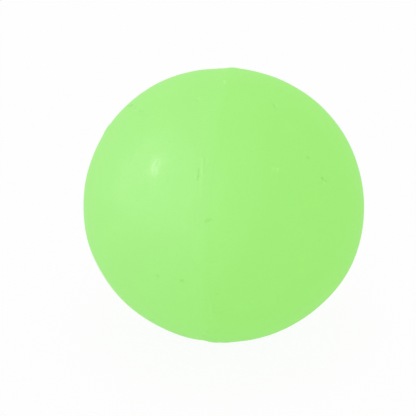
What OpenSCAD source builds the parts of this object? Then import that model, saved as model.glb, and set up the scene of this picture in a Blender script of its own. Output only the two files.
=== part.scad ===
// Solid rubber bouncy ball: a high-bounce core closed inside two moulded half covers,
// which a trimmed band of bonding rubber joins round the middle.
// Origin at the centre of the ball, +X along the moulding axis, +Z up. Millimetres.

/* [Ball] */
// Diameter that each half of the mould gives its cover
ball_d = 32; // [25:0.5:60]
// Thickness of the covers beside the seam, which leaves the rest to the core
cover_t = 3.5; // [2.5:0.25:6]

/* [Seam] */
// Distance between the flat rims of the two covers
seam_gap = 0.95; // [0.4:0.05:2]
// How far each rim's outer corner is bevelled back along the moulding axis
bevel_w = 0.4; // [0.2:0.05:1]
// How deep that bevel reaches below the surface of the cover
bevel_depth = 0.5; // [0.2:0.05:1.5]
// How far the trimmed band stands proud of the covers
seam_proud = 0.12; // [0.04:0.02:0.5]

/* [Hidden] */
$fn = 160;

LEFT = -1;
RIGHT = 1;

ball_r = ball_d / 2;
core_d = ball_d - 2 * cover_t;

// The groove between the rims: a plain web, opening into a V where the rims are bevelled
web_half = seam_gap / 2;
band_half = web_half + bevel_w;
bevel_r = ball_r - bevel_depth;
band_edge_r = sqrt(ball_r ^ 2 - bevel_w ^ 2);
// The V is carried on past the surface, clear of the band's crown
groove_r = ball_r + seam_proud + bevel_depth;
groove_half = web_half + bevel_w * (groove_r - bevel_r) / (band_edge_r - bevel_r);

// The band's crown is one arc through both of its edges and its highest point
crown_h = ball_r + seam_proud - band_edge_r;
crown_r = (band_half ^ 2 + crown_h ^ 2) / (2 * crown_h);
crown_centre = ball_r + seam_proud - crown_r;

cover_green = [0.65, 0.95, 0.51];
band_green = [0.64, 0.94, 0.49];
core_cream = [0.87, 0.88, 0.78];

// Turns a section drawn as [radius, place along the axis] round the moulding axis
module round_axis() {
    rotate([0, 90, 0]) rotate_extrude() children();
}

module web_section() {
    translate([0, -web_half]) square([bevel_r + bevel_depth / 2, seam_gap]);
}

module vee_section() {
    polygon([
        [bevel_r, -web_half],
        [groove_r, -groove_half],
        [groove_r, groove_half],
        [bevel_r, web_half]
    ]);
}

// What the seam takes away from the two covers
module seam_groove() {
    round_axis() {
        web_section();
        vee_section();
    }
}

// Everything on one side of the middle of the seam
module side_of_seam(side) {
    translate([side * ball_d, 0, 0]) cube(2 * ball_d, center = true);
}

// One half cover: a thick cup with a round pocket for the core, a flat rim and a bevelled lip
module half_cover(side) {
    difference() {
        intersection() {
            translate([side * web_half, 0, 0]) sphere(d = ball_d);
            side_of_seam(side);
        }
        sphere(d = core_d);
        seam_groove();
    }
}

module core() {
    color(core_cream) sphere(d = core_d);
}

module left_cover() {
    color(cover_green) half_cover(LEFT);
}

module right_cover() {
    color(cover_green) half_cover(RIGHT);
}

// The bonding rubber: it fills the groove down to the core and is trimmed to a low crown outside
module seam_band() {
    color(band_green) difference() {
        round_axis() {
            web_section();
            intersection() {
                vee_section();
                translate([crown_centre, 0]) circle(r = crown_r);
            }
        }
        sphere(d = core_d);
    }
}

core();
left_cover();
right_cover();
seam_band();
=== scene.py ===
import math
import random
import bmesh
import bpy
from mathutils import Matrix, Vector
from mathutils.kdtree import KDTree


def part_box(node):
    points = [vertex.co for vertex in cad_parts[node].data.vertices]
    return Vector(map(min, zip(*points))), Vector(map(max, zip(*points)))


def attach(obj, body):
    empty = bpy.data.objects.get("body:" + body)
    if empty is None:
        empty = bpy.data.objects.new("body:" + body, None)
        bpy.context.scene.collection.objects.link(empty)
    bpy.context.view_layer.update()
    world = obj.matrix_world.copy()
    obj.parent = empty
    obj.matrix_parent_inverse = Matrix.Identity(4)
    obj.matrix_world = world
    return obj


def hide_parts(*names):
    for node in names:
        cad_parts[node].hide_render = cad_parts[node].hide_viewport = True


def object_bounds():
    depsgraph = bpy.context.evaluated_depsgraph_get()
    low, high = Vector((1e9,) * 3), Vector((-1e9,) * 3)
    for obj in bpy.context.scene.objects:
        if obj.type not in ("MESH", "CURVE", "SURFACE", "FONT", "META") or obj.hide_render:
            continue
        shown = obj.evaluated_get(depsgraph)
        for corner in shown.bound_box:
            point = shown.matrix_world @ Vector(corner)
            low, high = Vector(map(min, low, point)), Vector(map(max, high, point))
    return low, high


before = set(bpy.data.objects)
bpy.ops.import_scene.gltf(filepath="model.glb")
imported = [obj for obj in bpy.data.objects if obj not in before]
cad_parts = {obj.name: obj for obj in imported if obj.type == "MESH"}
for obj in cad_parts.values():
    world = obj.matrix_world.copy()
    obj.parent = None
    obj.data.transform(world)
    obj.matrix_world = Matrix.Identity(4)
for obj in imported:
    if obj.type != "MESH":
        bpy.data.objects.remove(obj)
cadLow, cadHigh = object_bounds()
mm = 0.001
weldGap = 0.001 * mm  # points nearer than this are one point
smoothAngle = math.radians(50)  # edges sharper than this stay crisp
scene = bpy.context.scene
scene.view_settings.view_transform = "Standard"
leftLow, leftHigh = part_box("left_cover")
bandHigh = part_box("seam_band")[1]
coverRadius = leftHigh.x - leftLow.x
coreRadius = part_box("core")[1].z
print("frame:", ", ".join(sorted(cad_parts)))


# small helpers

def startObject():  # back to object mode with nothing selected
    if bpy.context.object and bpy.context.object.mode != "OBJECT":
        bpy.ops.object.mode_set(mode="OBJECT")
    bpy.ops.object.select_all(action="DESELECT")


def makeActive(piece, mode="OBJECT"):
    startObject()
    piece.select_set(True)
    bpy.context.view_layer.objects.active = piece
    bpy.ops.object.mode_set(mode=mode)


def applyModifier(piece, kind, **settings):
    makeActive(piece)
    step = piece.modifiers.new(kind.lower(), kind)
    for key, value in settings.items():
        setattr(step, key, value)
    bpy.ops.object.modifier_apply(modifier=step.name)


def pullRing(ring, x, radius):  # extrude the selected ring to a new place along the moulding axis
    bpy.ops.mesh.extrude_edges_move(TRANSFORM_OT_translate={"value": (x - ring["x"], 0, 0)})
    grow = radius / ring["radius"]
    bpy.ops.transform.resize(value=(1, grow, grow), center_override=(x, 0, 0))
    ring.update(x=x, radius=radius)


def closeMesh():  # weld what meets and turn every face outwards
    bpy.ops.mesh.select_all(action="SELECT")
    bpy.ops.mesh.remove_doubles(threshold=weldGap)
    bpy.ops.mesh.normals_make_consistent(inside=False)
    startObject()


# camera, set where the photo was taken from

cameraSet = dict(
    azimuth=9.0, elevation=26.0,  # degrees, round the ball and above it
    lens=130.0, sensor=36.0,  # mm
    clip=100,  # how many times nearer and farther than the ball it still sees
    imageSize=416,  # px, square
    ballAt=(223.7, 205.05), ballRadius=136.35,  # px, the ball in the picture
)


def placeCamera():
    turn, rise = math.radians(cameraSet["azimuth"]), math.radians(cameraSet["elevation"])
    back = Vector((math.sin(turn) * math.cos(rise), -math.cos(turn) * math.cos(rise), math.sin(rise)))
    right = Vector((math.cos(turn), math.sin(turn), 0))
    up = back.cross(right)
    focal = cameraSet["imageSize"] * cameraSet["lens"] / cameraSet["sensor"]  # px
    distance = coverRadius / math.sin(math.atan(cameraSet["ballRadius"] / focal))
    middle = cameraSet["imageSize"] / 2
    offRight = (cameraSet["ballAt"][0] - middle) * distance / focal
    offUp = (middle - cameraSet["ballAt"][1]) * distance / focal
    aim = -right * offRight - up * offUp
    bpy.ops.object.camera_add(location=back * distance)
    made = bpy.context.object
    made.data.lens = cameraSet["lens"]
    made.data.sensor_width = cameraSet["sensor"]
    made.data.clip_start = distance / cameraSet["clip"]
    made.data.clip_end = distance * cameraSet["clip"]
    made.rotation_euler = (aim - made.location).to_track_quat("-Z", "Y").to_euler()
    scene.camera = made
    bpy.context.view_layer.update()
    return made, focal, right, up, back


camera, focalPx, viewRight, viewUp, viewBack = placeCamera()
print("camera", round(camera.location.length / mm), "mm from the ball")


def pixelRay(px, py):  # direction in the world through a pixel of the picture
    middle = cameraSet["imageSize"] / 2
    local = Vector(((px - middle) / focalPx, (middle - py) / focalPx, -1))
    return (camera.matrix_world.to_3x3() @ local).normalized()


# half covers: thick cups with a bevelled rim and a round pocket for the core

coverSet = dict(
    segments=100, rings=50, cuts=3,  # of the whole ball that each half is cut from
    bevelWide=0.4 * mm, bevelDeep=0.5 * mm,
    pocketRings=18, tipShare=0.001,  # steps down the pocket, and how small its last ring is
    unevenSize=9 * mm, unevenDepth=0.05 * mm,  # slow waves that moulding leaves
    skinSize=1.5 * mm, skinDepth=0.012 * mm,  # small dimples that break up a reflection
    # soft lumps and flats: degrees round the picture's outline, mm out, mm reach
    lumps=[(335, 0.10, 6.5), (194, 0.08, 5), (118, 0.04, 5), (156, -0.05, 5), (14, -0.06, 7),
           (38, -0.05, 5), (57, -0.04, 3.5), (238, -0.04, 5), (84, 0.10, 3), (256, 0.06, 3.5),
           (94, -0.055, 1.6), (147, 0.09, 1.2), (270, 0.12, 2), (302, -0.06, 8.5)],
)


def buildCover(name, node, side):
    low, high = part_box(node)
    rimX, poleX = (low.x, high.x) if side > 0 else (high.x, low.x)
    radius = abs(poleX - rimX)
    startObject()
    bpy.ops.mesh.primitive_uv_sphere_add(
        segments=coverSet["segments"], ring_count=coverSet["rings"], radius=radius,
        location=(rimX, 0, 0), rotation=(0, math.pi / 2, 0))
    cover = bpy.context.object
    cover.name = name
    bpy.ops.object.mode_set(mode="EDIT")
    bpy.ops.mesh.subdivide(number_cuts=coverSet["cuts"])
    applyModifier(cover, "CAST", cast_type="SPHERE", factor=1.0, use_radius_as_size=False,
                  radius=0, size=radius)
    bpy.ops.object.transform_apply(location=True, rotation=True, scale=True)
    lipX = rimX + side * coverSet["bevelWide"]
    lipRadius = math.sqrt(radius ** 2 - coverSet["bevelWide"] ** 2)
    bpy.ops.object.mode_set(mode="EDIT")
    bpy.ops.mesh.select_all(action="SELECT")
    bpy.ops.mesh.bisect(plane_co=(lipX, 0, 0), plane_no=(side, 0, 0), clear_inner=True)
    ring = dict(x=lipX, radius=lipRadius)  # the cut edge is what stays selected
    pullRing(ring, rimX, radius - coverSet["bevelDeep"])
    startAngle = math.asin(abs(rimX) / coreRadius)
    for k in range(coverSet["pocketRings"]):
        angle = startAngle + (math.pi / 2 - startAngle) * k / coverSet["pocketRings"]
        pullRing(ring, side * coreRadius * math.sin(angle), coreRadius * math.cos(angle))
    pullRing(ring, side * coreRadius, coreRadius * coverSet["tipShare"])
    bpy.ops.mesh.merge(type="CENTER")
    closeMesh()
    return cover


leftCover = buildCover("leftCover", "left_cover", -1)
rightCover = buildCover("rightCover", "right_cover", 1)
print("covers:", len(leftCover.data.polygons), "and", len(rightCover.data.polygons), "faces")


# seam band: bonding rubber that fills the groove and is trimmed to a low crown

bandSet = dict(
    segments=1200, crownSteps=30,
    lap=0.3 * mm,  # how far its thin edges run under the covers' skin
    burrHigh=0.012 * mm, burrWide=0.12 * mm,  # thin lip that trimming leaves along the left edge
    sunk=0.095 * mm, sunkFade=0.5,  # how much lower the crown is at the front, and how that fades
    waverSize=1.8 * mm, waverDepth=0.03 * mm,  # uneven trimming
    nibSize=0.45 * mm, nibDepth=0.014 * mm,  # small torn bits
)


def buildBand():
    edgeX, webX = bandHigh.x, abs(leftHigh.x)
    rise = bandHigh.z - math.sqrt(coverRadius ** 2 - coverSet["bevelWide"] ** 2)
    crown = (edgeX ** 2 + rise ** 2) / (2 * rise)  # radius of the arc over the band
    halfAngle = math.asin((edgeX + bandSet["lap"]) / crown)
    bevelRadius = coverRadius - coverSet["bevelDeep"]
    footRadius = math.sqrt(coreRadius ** 2 - webX ** 2)
    startObject()
    bpy.ops.mesh.primitive_circle_add(
        vertices=bandSet["segments"], radius=footRadius, fill_type="NOTHING",
        location=(-webX, 0, 0), rotation=(0, math.pi / 2, 0))
    band = bpy.context.object
    band.name = "seamBand"
    bpy.ops.object.transform_apply(location=True, rotation=True, scale=True)
    bpy.ops.object.mode_set(mode="EDIT")
    bpy.ops.mesh.select_all(action="SELECT")
    ring = dict(x=-webX, radius=footRadius)
    pullRing(ring, -webX, bevelRadius)
    for k in range(bandSet["crownSteps"] + 1):
        angle = halfAngle * (2 * k / bandSet["crownSteps"] - 1)
        x = crown * math.sin(angle)
        burr = bandSet["burrHigh"] * math.exp(-((x + edgeX) / bandSet["burrWide"]) ** 2)
        pullRing(ring, x, bandHigh.z - crown + crown * math.cos(angle) + burr)
    pullRing(ring, webX, bevelRadius)
    pullRing(ring, webX, footRadius)
    pullRing(ring, 0, coreRadius)
    pullRing(ring, -webX, footRadius)
    closeMesh()
    return band


def sinkFront(band):  # the crown is trimmed closer where it faces the camera
    front = band.vertex_groups.new(name="front")
    for v in band.data.vertices:
        across = max(0.0, 1 - (v.co.x / bandHigh.x) ** 2)
        facing = max(0.0, v.co.normalized().dot(viewBack))
        if v.co.length > coverRadius - coverSet["bevelDeep"]:
            front.add([v.index], across * facing ** bandSet["sunkFade"], "REPLACE")
    applyModifier(band, "DISPLACE", vertex_group="front", strength=-bandSet["sunk"], mid_level=0)


def waves(name, size):
    pattern = bpy.data.textures.new(name, "CLOUDS")
    pattern.noise_scale = size
    return pattern


def ruffle(piece, pattern, depth):
    applyModifier(piece, "DISPLACE", texture=pattern, texture_coords="LOCAL", strength=depth, mid_level=0.5)


seamBand = buildBand()
sinkFront(seamBand)
unevenWaves = waves("unevenWaves", coverSet["unevenSize"])
for piece in (leftCover, rightCover, seamBand):
    ruffle(piece, unevenWaves, coverSet["unevenDepth"])
skinDimples = waves("skinDimples", coverSet["skinSize"])
for piece in (leftCover, rightCover):
    ruffle(piece, skinDimples, coverSet["skinDepth"])
ruffle(seamBand, waves("trimWaver", bandSet["waverSize"]), bandSet["waverDepth"])
ruffle(seamBand, waves("tornNibs", bandSet["nibSize"]), bandSet["nibDepth"])
print("band:", len(seamBand.data.polygons), "faces")


# lumps, nicks and scratches, pressed into the meshes

def lineDistance(place, start, end):
    along = end - start
    share = 0.0
    if along.length > 0:
        share = min(1.0, max(0.0, (place - start).dot(along) / along.length_squared))
    return (place - start - along * share).length


def pointTree(points):  # finds points by their place
    tree = KDTree(len(points))
    for v in points:
        tree.insert(v.co, v.index)
    tree.balance()
    return tree


def nearLine(tree, start, end, reach):  # each point within reach of a line, and how far off it is
    middle = (start + end) / 2
    for place, index, gap in tree.find_range(middle, (end - start).length / 2 + reach):
        away = lineDistance(place, start, end)
        if away < reach:
            yield index, away


def editPoints(piece):
    points = bmesh.from_edit_mesh(piece.data).verts
    points.ensure_lookup_table()
    return points


def pickNear(piece, tree, lines):  # select what lies along each line, at the least its nearest point
    bpy.ops.mesh.select_all(action="DESELECT")
    points = editPoints(piece)
    for start, end, reach in lines:
        points[tree.find((start + end) / 2)[1]].select_set(True)
        for index, away in nearLine(tree, start, end, reach):
            points[index].select_set(True)
    grid = bmesh.from_edit_mesh(piece.data)
    grid.select_flush(True)
    bmesh.update_edit_mesh(piece.data)


def push(way, reach, connected=False):  # move the selected points and, less and less, those round them
    bpy.ops.transform.translate(
        value=way, use_proportional_edit=True, use_proportional_connected=connected,
        proportional_edit_falloff="SMOOTH", proportional_size=reach)


def lump(piece):
    makeActive(piece, "EDIT")
    tree = pointTree(editPoints(piece))
    lean = math.asin(coverRadius / camera.location.length)  # the edge in view leans this far to the camera
    for angle, amount, reach in coverSet["lumps"]:
        out = viewRight * math.cos(math.radians(angle)) + viewUp * math.sin(math.radians(angle))
        spot = (out * math.cos(lean) + viewBack * math.sin(lean)) * coverRadius
        near = 1 - tree.find(spot)[2] / (reach * mm)
        if near > 0:
            pickNear(piece, tree, [(spot, spot, 0)])
            push(out * amount * mm * near * near * (3 - 2 * near), reach * mm, connected=True)
    startObject()


for piece in (leftCover, rightCover, seamBand):
    lump(piece)

markSet = dict(
    fineCuts=3, fineReach=1.3,  # the mesh round each mark is made finer first, to this share of its width
    pressReach=0.15, pressSpread=0.6,  # shares of the width that are pressed fully, and that follow
    colourReach=0.75, colourEdge=1.6,  # share of the width that takes colour, and how sharply that ends
    # from px, to px, wide mm, deep mm (below 0 stands out), tone (above 0 dirt and painted shade, below 0
    # painted glint)
    seen=dict(
        rightPits=[
            ((322.5, 178.5), (322.5, 178.6), 0.38, 0.07, 0.28),
            ((325.2, 180.8), (326.0, 181.4), 0.26, 0.04, 0.17),
            ((321.8, 183.2), (321.8, 183.3), 0.20, 0.02, 0.10),
            ((324.0, 182.8), (324.1, 182.8), 0.26, -0.03, -0.30),
            ((308.1, 157.6), (308.1, 157.7), 0.36, 0.05, 0.18),
            ((305.2, 152.6), (305.2, 152.7), 0.20, -0.02, -0.25),
            ((311.5, 152.2), (311.5, 152.3), 0.20, -0.02, -0.25),
        ],
        lowLeftPits=[
            ((157.8, 276.1), (157.9, 276.1), 0.36, 0.04, 0.16),
            ((154.2, 275.8), (154.3, 275.8), 0.26, 0.02, 0.06),
            ((180.9, 280.6), (182.8, 280.6), 0.28, 0.05, 0.20),
            ((181.9, 282.0), (181.9, 282.1), 0.25, 0.03, 0.12),
        ],
        seamCut=[
            ((198.6, 169.0), (198.2, 175.5), 0.26, 0.04, 0.15),
            ((198.2, 175.5), (197.0, 179.3), 0.28, 0.04, 0.17),
            ((195.3, 177.0), (195.4, 177.2), 0.24, -0.02, -0.22),
        ],
        seamNick=[
            ((206.6, 221.4), (210.8, 220.2), 0.38, 0.04, 0.14),
        ],
        shineDents=[
            ((156.4, 165.6), (159.0, 161.2), 0.24, 0.012, 0.0),
            ((154.8, 169.6), (155.6, 174.6), 0.20, 0.006, 0.0),
        ],
        upperLeftGraze=[
            ((129.4, 105.6), (132.4, 105.4), 0.32, 0.08, 0.26),
            ((134.2, 107.6), (135.6, 108.0), 0.22, 0.03, 0.10),
            ((139.0, 110.6), (143.8, 111.6), 0.22, 0.03, 0.09),
            # a broad painted shadow below the graze
            ((139.0, 113.0), (147.0, 115.5), 0.50, 0.02, 0.04),
            ((135.3, 110.4), (135.4, 110.4), 0.22, -0.02, -0.28),
            ((126.2, 111.2), (126.4, 111.2), 0.24, -0.02, -0.20),
        ],
        rightNibs=[
            # raised nibs, painted pale as glints
            ((277.7, 168.3), (277.6, 170.4), 0.23, -0.05, -0.42),
            ((273.5, 168.3), (273.5, 170.2), 0.20, -0.02, -0.22),
        ],
        topNibs=[
            # the first two stand out and are painted pale as glints
            ((224.7, 80.8), (224.8, 83.0), 0.24, -0.05, -0.50),
            ((198.4, 98.2), (199.6, 98.0), 0.26, -0.03, -0.30),
            ((193.8, 100.8), (197.5, 101.0), 0.20, 0.02, 0.07),
        ],
        upperRightGraze=[
            ((273.8, 104.6), (274.6, 106.8), 0.34, 0.04, 0.11),
            ((275.4, 108.0), (277.0, 109.8), 0.30, 0.03, 0.08),
            ((276.9, 104.4), (277.0, 105.8), 0.24, -0.03, -0.20),
        ],
        seamRidge=[
            # the raised ridge lines are painted pale as their highlight, and the low strip beside the first
            # takes painted shade
            ((202.1, 158.6), (201.9, 176.0), 0.24, -0.04, -0.34),
            ((200.3, 158.2), (201.8, 159.2), 0.20, -0.03, -0.25),
            ((204.8, 158.0), (204.6, 172.0), 0.34, 0.015, 0.05),
            ((201.7, 176.0), (200.6, 197.0), 0.24, -0.025, -0.12),
            ((197.6, 217.0), (196.8, 252.0), 0.24, -0.015, -0.06),
        ],
        lowerSeam=[
            ((195.5, 269.2), (199.0, 269.4), 0.22, 0.015, 0.04),
            ((217.0, 294.2), (217.1, 294.2), 0.30, 0.03, 0.07),
            ((210.6, 304.5), (211.0, 319.0), 0.22, -0.015, -0.12),
            ((213.2, 304.5), (213.2, 313.0), 0.24, 0.01, 0.03),
            ((216.5, 312.8), (222.5, 312.6), 0.22, 0.015, 0.05),
        ],
        underside=[
            ((203.6, 332.6), (204.6, 333.0), 0.34, -0.05, -0.32),
            ((207.2, 331.0), (207.4, 333.0), 0.24, 0.03, 0.09),
            ((202.0, 336.0), (205.0, 335.6), 0.26, 0.03, 0.09),
        ],
    ),
    # light wear on the sides that the picture doesn't show
    seed=7, strayMarks=26,
    strayLong=(0.05, 0.1, 0.1, 0.2, 1.4),  # mm, one of these
    strayWide=(0.2, 0.34), strayDeep=(0.02, 0.07), strayDirtAndShade=(0.05, 0.24),  # between these
)


def touch(origin, way):  # first piece that a line meets, and where
    hits = []
    for piece in (leftCover, rightCover, seamBand):
        found, place, normal, face = piece.ray_cast(origin, way)
        if found:
            hits.append(((place - origin).length, piece, place))
    return min(hits, key=lambda hit: hit[0])[1:] if hits else None


def addMark(plans, first, last, wide, deep, soilShadeAndGlint):
    if not first or not last:
        return
    crossed = [first[0]] if first[0] is last[0] else [first[0], last[0]]  # the pieces it runs over
    for piece in crossed:
        plans.append(dict(piece=piece, start=first[1], end=last[1],
                          wide=wide * mm, deep=deep * mm, soilShadeAndGlint=soilShadeAndGlint))


def planMarks():
    plans = []
    for marks in markSet["seen"].values():
        for start, end, wide, deep, soilShadeAndGlint in marks:
            first = touch(camera.location, pixelRay(*start))
            last = touch(camera.location, pixelRay(*end))
            addMark(plans, first, last, wide, deep, soilShadeAndGlint)
    chance = random.Random(markSet["seed"])
    for k in range(markSet["strayMarks"]):
        turn, height = chance.uniform(0, 2 * math.pi), chance.uniform(-1, 1)
        flat = math.sqrt(1 - height ** 2)
        out = Vector((flat * math.cos(turn), flat * math.sin(turn), height))
        if out.dot(viewBack) > 0:
            out = -out
        length = chance.choice(markSet["strayLong"]) * mm
        origin = out * 2 * coverRadius
        first = touch(origin, -out)
        last = touch(origin + out.orthogonal().normalized() * length, -out)
        wide, deep, soilShadeAndGlint = (chance.uniform(*markSet[key]) for key in ("strayWide", "strayDeep", "strayDirtAndShade"))
        addMark(plans, first, last, wide, deep, soilShadeAndGlint)
    return plans


markPlans = planMarks()


def carveMarks(piece):
    marks = [mark for mark in markPlans if mark["piece"] is piece]
    makeActive(piece, "EDIT")
    if piece is not seamBand:
        around = [(mark["start"], mark["end"], mark["wide"] * markSet["fineReach"]) for mark in marks]
        pickNear(piece, pointTree(editPoints(piece)), around)
        bpy.ops.mesh.subdivide(number_cuts=markSet["fineCuts"])
    tree = pointTree(editPoints(piece))
    for mark in marks:
        start, end = mark["start"], mark["end"]
        pickNear(piece, tree, [(start, end, mark["wide"] * markSet["pressReach"])])
        push(-(start + end).normalized() * mark["deep"], mark["wide"] * markSet["pressSpread"])
    startObject()


def paintSoilShadeAndGlint(piece):  # dirt and painted shade (above 0) and painted glint (below 0) at each point, for the materials
    worn = [0.0] * len(piece.data.vertices)
    tree = pointTree(piece.data.vertices)
    for mark in markPlans:
        if mark["piece"] is piece:
            reach = mark["wide"] * markSet["colourReach"]
            for index, away in nearLine(tree, mark["start"], mark["end"], reach):
                near = 1 - away / reach
                amount = mark["soilShadeAndGlint"] * min(1.0, near * markSet["colourEdge"])
                if abs(amount) > abs(worn[index]):
                    worn[index] = amount
    layer = piece.data.attributes.new("soilShadeAndGlint", "FLOAT", "POINT")
    layer.data.foreach_set("value", worn)


for piece in (leftCover, rightCover, seamBand):
    carveMarks(piece)
    paintSoilShadeAndGlint(piece)
    makeActive(piece)
    bpy.ops.object.shade_smooth_by_angle(angle=smoothAngle)
    print(piece.name, len(piece.data.polygons), "faces")


# node helpers

def addNode(tree, kind, sockets=None, **settings):
    made = tree.nodes.new("ShaderNode" + kind)
    for key, value in settings.items():
        setattr(made, key, value)
    for key, value in (sockets or {}).items():
        if isinstance(value, bpy.types.NodeSocket):
            tree.links.new(value, made.inputs[key])
        else:
            made.inputs[key].default_value = value
    return made


def newGroup(name, takes, gives):
    tree = bpy.data.node_groups.new(name, "ShaderNodeTree")
    for label, kind in takes.items():
        tree.interface.new_socket(name=label, in_out="INPUT", socket_type="NodeSocket" + kind)
    for label, kind in gives.items():
        tree.interface.new_socket(name=label, in_out="OUTPUT", socket_type="NodeSocket" + kind)
    return tree, tree.nodes.new("NodeGroupInput").outputs, tree.nodes.new("NodeGroupOutput").inputs


def placeGroup(tree, group, sockets):
    return addNode(tree, "Group", sockets, node_tree=group).outputs


def mathNode(tree, operation, *values):
    return addNode(tree, "Math", dict(enumerate(values)), operation=operation).outputs[0]


def blendColour(tree, share, low, high):
    return addNode(tree, "Mix", {0: share, 6: low, 7: high}, data_type="RGBA").outputs[2]


def noise(tree, vector, scale, detail, roughness=0.5):
    sockets = {"Vector": vector, "Scale": scale, "Detail": detail, "Roughness": roughness}
    return addNode(tree, "TexNoise", sockets).outputs[0]


# shared effects

# noise levels at which each mask starts and is full
maskSet = dict(dull=(0.6, 0.4), pale=(0.45, 0.75), deep=(0.55, 0.85))


def noiseMask(tree, value, ends):
    return addNode(tree, "MapRange", {"Value": value, "From Min": ends[0], "From Max": ends[1]}).outputs[0]


def buildGrain():  # moulded skin: slow peel with a fine grain on it
    tree, takes, gives = newGroup(
        "mouldGrain", {"Vector": "Vector", "Peel Scale": "Float", "Grain Scale": "Float",
                       "Grain Share": "Float"}, {"Height": "Float", "Dull": "Float"})
    peel = noise(tree, takes["Vector"], takes["Peel Scale"], 1)
    grain = noise(tree, takes["Vector"], takes["Grain Scale"], 2, 0.6)
    height = addNode(tree, "Mix", {0: takes["Grain Share"], 2: peel, 3: grain}).outputs[0]
    tree.links.new(height, gives["Height"])
    tree.links.new(noiseMask(tree, grain, maskSet["dull"]), gives["Dull"])
    return tree


def buildDrift():  # pigment that isn't quite evenly mixed in
    tree, takes, gives = newGroup(
        "pigmentDrift", {"Vector": "Vector", "Color": "Color", "Pale": "Color", "Deep": "Color",
                         "Cloud Scale": "Float", "Fleck Scale": "Float"}, {"Color": "Color"})
    cloud = noise(tree, takes["Vector"], takes["Cloud Scale"], 3)
    fleck = noise(tree, takes["Vector"], takes["Fleck Scale"], 1)
    pale = blendColour(tree, noiseMask(tree, cloud, maskSet["pale"]), takes["Color"], takes["Pale"])
    deep = blendColour(tree, noiseMask(tree, fleck, maskSet["deep"]), pale, takes["Deep"])
    tree.links.new(deep, gives["Color"])
    return tree


def buildDirtAndPaintedLight():  # dirt and painted shade held in the marks, a few loose specks of dirt, and painted glints on the raised marks
    tree, takes, gives = newGroup(
        "dirtAndPaintedLight", {"Vector": "Vector", "Marks": "Float", "Speck Scale": "Float", "Speck Size": "Float",
                         "Speck Share": "Float", "Speck Soil": "Float"}, {"Soil And Shade": "Float", "Painted Glint": "Float"})
    cells = addNode(tree, "TexVoronoi", {"Vector": takes["Vector"], "Scale": takes["Speck Scale"]})
    inside = mathNode(tree, "LESS_THAN", cells.outputs["Distance"], takes["Speck Size"])
    pick = addNode(tree, "SeparateColor", {0: cells.outputs["Color"]})
    chosen = mathNode(tree, "LESS_THAN", pick.outputs[0], takes["Speck Share"])
    strength = mathNode(tree, "MULTIPLY", pick.outputs[1], takes["Speck Soil"])
    specks = mathNode(tree, "MULTIPLY", mathNode(tree, "MULTIPLY", inside, chosen), strength)
    glintAmount = mathNode(tree, "MULTIPLY", takes["Marks"], -1)
    tree.links.new(mathNode(tree, "MAXIMUM", takes["Marks"], specks), gives["Soil And Shade"])
    tree.links.new(mathNode(tree, "MAXIMUM", glintAmount, 0), gives["Painted Glint"])
    return tree


mouldGrain = buildGrain()
pigmentDrift = buildDrift()
dirtAndPaintedLight = buildDirtAndPaintedLight()


# rubber finishes

rubberSet = dict(
    # the left half is coloured a little paler and bluer than the right
    left=dict(colour=(0.368, 0.873, 0.197), drift=0.012, gloss=0.70, dull=0.84, bump=0.004 * mm,
              peel=700, grain=4600, share=0.4, coat=0.06),
    right=dict(colour=(0.357, 0.865, 0.180), drift=0.012, gloss=0.70, dull=0.84, bump=0.004 * mm,
               peel=700, grain=4600, share=0.4, coat=0.06),
    seam=dict(colour=(0.368, 0.872, 0.196), drift=0.016, gloss=0.72, dull=0.86, bump=0.006 * mm,
              peel=900, grain=4600, share=0.4, coat=0.03),
    core=dict(colour=(0.73, 0.75, 0.57), drift=0.05, gloss=0.6, dull=0.8, bump=0.02 * mm,
              peel=500, grain=2500, share=0.4, coat=0.0),
    # the first colour is dirt and painted shade in pits and dips, the second a painted glint on raised nibs
    # and ridges
    soilAndShadeColour=(0.15, 0.53, 0.05, 1), paintedGlintColour=(0.48, 0.99, 0.295, 1),
    ior=1.3,
    coatRough=0.18, coatIor=1.3,  # the skin's faint polish from the mould
    cloudScale=230, fleckScale=2600,
    speckScale=240, speckSize=0.03, speckShare=0.25, speckSoil=0.08,
    trimStretch=(5200, 260, 260),  # fine lines that run round the band
    trimShare=0.5,
    runOver=0.5,  # how far the band takes the right half's shade towards its right edge
)


def tone(colour, level):
    return (*[level * part for part in colour], 1)


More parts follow.
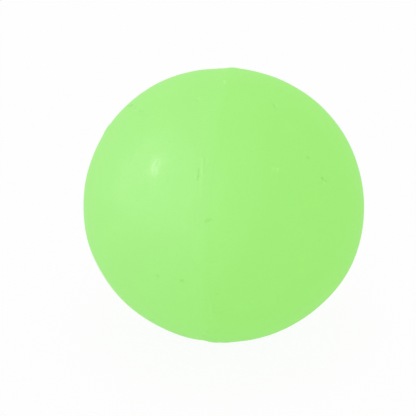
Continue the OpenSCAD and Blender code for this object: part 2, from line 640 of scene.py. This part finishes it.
def rubber(name, look, trimmed=False):
    paint = bpy.data.materials.new(name)
    paint.use_nodes = True
    tree = paint.node_tree
    shader = tree.nodes["Principled BSDF"]
    place = addNode(tree, "TexCoord").outputs["Object"]
    marks = addNode(tree, "Attribute", attribute_name="soilShadeAndGlint").outputs["Fac"]
    grain = placeGroup(tree, mouldGrain, {"Vector": place, "Peel Scale": look["peel"],
                                          "Grain Scale": look["grain"], "Grain Share": look["share"]})
    drift = placeGroup(tree, pigmentDrift, {
        "Vector": place, "Color": tone(look["colour"], 1), "Pale": tone(look["colour"], 1 + look["drift"]),
        "Deep": tone(look["colour"], 1 - look["drift"]),
        "Cloud Scale": rubberSet["cloudScale"], "Fleck Scale": rubberSet["fleckScale"]})
    soilShadeAndGlint = placeGroup(tree, dirtAndPaintedLight, {
        "Vector": place, "Marks": marks, "Speck Scale": rubberSet["speckScale"],
        "Speck Size": rubberSet["speckSize"], "Speck Share": rubberSet["speckShare"],
        "Speck Soil": rubberSet["speckSoil"]})
    height, base = grain["Height"], drift["Color"]
    if trimmed:
        streaks = addNode(tree, "Mapping", {"Vector": place, "Scale": rubberSet["trimStretch"]})
        lines = noise(tree, streaks.outputs[0], 1, 2)
        height = addNode(tree, "Mix", {0: rubberSet["trimShare"], 2: height, 3: lines}).outputs[0]
        across = addNode(tree, "SeparateXYZ", {"Vector": place}).outputs["X"]
        over = addNode(tree, "MapRange", {"Value": across, "From Min": 0, "From Max": bandHigh.x,
                                          "To Max": rubberSet["runOver"]}).outputs[0]
        base = blendColour(tree, over, base, tone(rubberSet["right"]["colour"], 1))
    soiledAndShaded = blendColour(tree, soilShadeAndGlint["Soil And Shade"], base, rubberSet["soilAndShadeColour"])
    colour = blendColour(tree, soilShadeAndGlint["Painted Glint"], soiledAndShaded, rubberSet["paintedGlintColour"])
    rough = addNode(tree, "MapRange", {"Value": grain["Dull"],
                                       "To Min": look["gloss"], "To Max": look["dull"]})
    bump = addNode(tree, "Bump", {"Strength": 1.0, "Distance": look["bump"], "Height": height})
    shader.inputs["IOR"].default_value = rubberSet["ior"]
    shader.inputs["Coat Weight"].default_value = look["coat"]
    shader.inputs["Coat Roughness"].default_value = rubberSet["coatRough"]
    shader.inputs["Coat IOR"].default_value = rubberSet["coatIor"]
    tree.links.new(colour, shader.inputs["Base Color"])
    tree.links.new(rough.outputs[0], shader.inputs["Roughness"])
    tree.links.new(bump.outputs[0], shader.inputs["Normal"])
    return paint


def dress(piece, paint):
    piece.data.materials.clear()
    piece.data.materials.append(paint)


dress(leftCover, rubber("leftRubber", rubberSet["left"]))
dress(rightCover, rubber("rightRubber", rubberSet["right"]))
dress(seamBand, rubber("seamRubber", rubberSet["seam"], trimmed=True))
dress(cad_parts["core"], rubber("coreRubber", rubberSet["core"]))
print("finishes:", ", ".join(m.name for m in bpy.data.materials if m.name.endswith("Rubber")))


# stage: a white sheet lit from all round, with a window and a card that only show as shine

stageSet = dict(
    floorWide=6.0,  # m
    floorColour=0.95, floorThrough=0.7,  # the sheet lets this share of the light from below through
    floorGlow=0.8,  # share of the sheet that is plain white to the camera
    roomLight=1.0,
    shineAt=(155.5, 167.0),  # px, where the window shows on the left cover
    # a little pink, so that its shine looks white on the green
    window=dict(away=0.5, size=(0.045, 0.10), turn=35, bright=190.0, colour=(1.0, 0.6, 1.0)),
    card=dict(away=0.4, size=(0.8, 0.8), turn=0, bright=9.2, colour=(0.78, 0.80, 1.0)),
    cardWay=(-0.80, 0.05, 0.60),  # to the right of, above and towards the camera
)


def buildFloor():
    startObject()
    bpy.ops.mesh.primitive_plane_add(size=stageSet["floorWide"], location=(0, 0, cadLow.z))
    floor = bpy.context.object
    floor.name = "floor"
    paint = bpy.data.materials.new("floorWhite")
    paint.use_nodes = True
    tree = paint.node_tree
    tree.nodes.clear()
    white = (*[stageSet["floorColour"]] * 3, 1)
    matt = addNode(tree, "BsdfDiffuse", {"Color": white}).outputs[0]
    through = addNode(tree, "BsdfTranslucent", {"Color": white}).outputs[0]
    sheet = addNode(tree, "MixShader", {0: stageSet["floorThrough"], 1: matt, 2: through}).outputs[0]
    glow = addNode(tree, "Emission").outputs[0]
    path = addNode(tree, "LightPath").outputs
    seen = mathNode(tree, "MAXIMUM", path["Is Camera Ray"], path["Is Glossy Ray"])
    seen = mathNode(tree, "MAXIMUM", seen, path["Is Transmission Ray"])
    share = mathNode(tree, "MULTIPLY", seen, stageSet["floorGlow"])
    both = addNode(tree, "MixShader", {0: share, 1: sheet, 2: glow})
    addNode(tree, "OutputMaterial", {"Surface": both.outputs[0]})
    dress(floor, paint)


def buildWorld():
    scene.world = bpy.data.worlds.new("studio")
    scene.world.use_nodes = True
    sky = scene.world.node_tree.nodes["Background"]
    sky.inputs["Color"].default_value = (1, 1, 1, 1)
    sky.inputs["Strength"].default_value = stageSet["roomLight"]


def addLamp(name, way, look):
    startObject()
    bpy.ops.object.light_add(type="AREA", location=way * look["away"])
    lamp = bpy.context.object
    lamp.name = name
    lamp.data.shape = "RECTANGLE"
    lamp.data.size, lamp.data.size_y = look["size"]
    lamp.data.energy = math.pi * look["size"][0] * look["size"][1] * look["bright"]
    lamp.data.color = look["colour"]
    aim = (-way).to_track_quat("-Z", "Y").to_matrix() @ Matrix.Rotation(math.radians(look["turn"]), 3, "Z")
    lamp.rotation_euler = aim.to_euler()
    lamp.visible_diffuse = False
    lamp.data.cycles.use_multiple_importance_sampling = False  # or part of it would still light the colour


buildFloor()
buildWorld()
shineRay = pixelRay(*stageSet["shineAt"])
shineSpot = leftCover.ray_cast(camera.location, shineRay)[1]
shineOut = (shineSpot - Vector((leftHigh.x, 0, 0))).normalized()
addLamp("windowLamp", shineRay.reflect(shineOut), stageSet["window"])
toRight, toUp, toBack = stageSet["cardWay"]
cardWay = (viewRight * toRight + viewUp * toUp + viewBack * toBack).normalized()
addLamp("softCard", cardWay, stageSet["card"])


# every piece rides on the one body and stands for its CAD node

for piece, node, slot in ((leftCover, "left_cover", "cover_rubber"),
                          (rightCover, "right_cover", "cover_rubber"),
                          (seamBand, "seam_band", "seam_rubber")):
    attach(piece, "root")
    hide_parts(node)
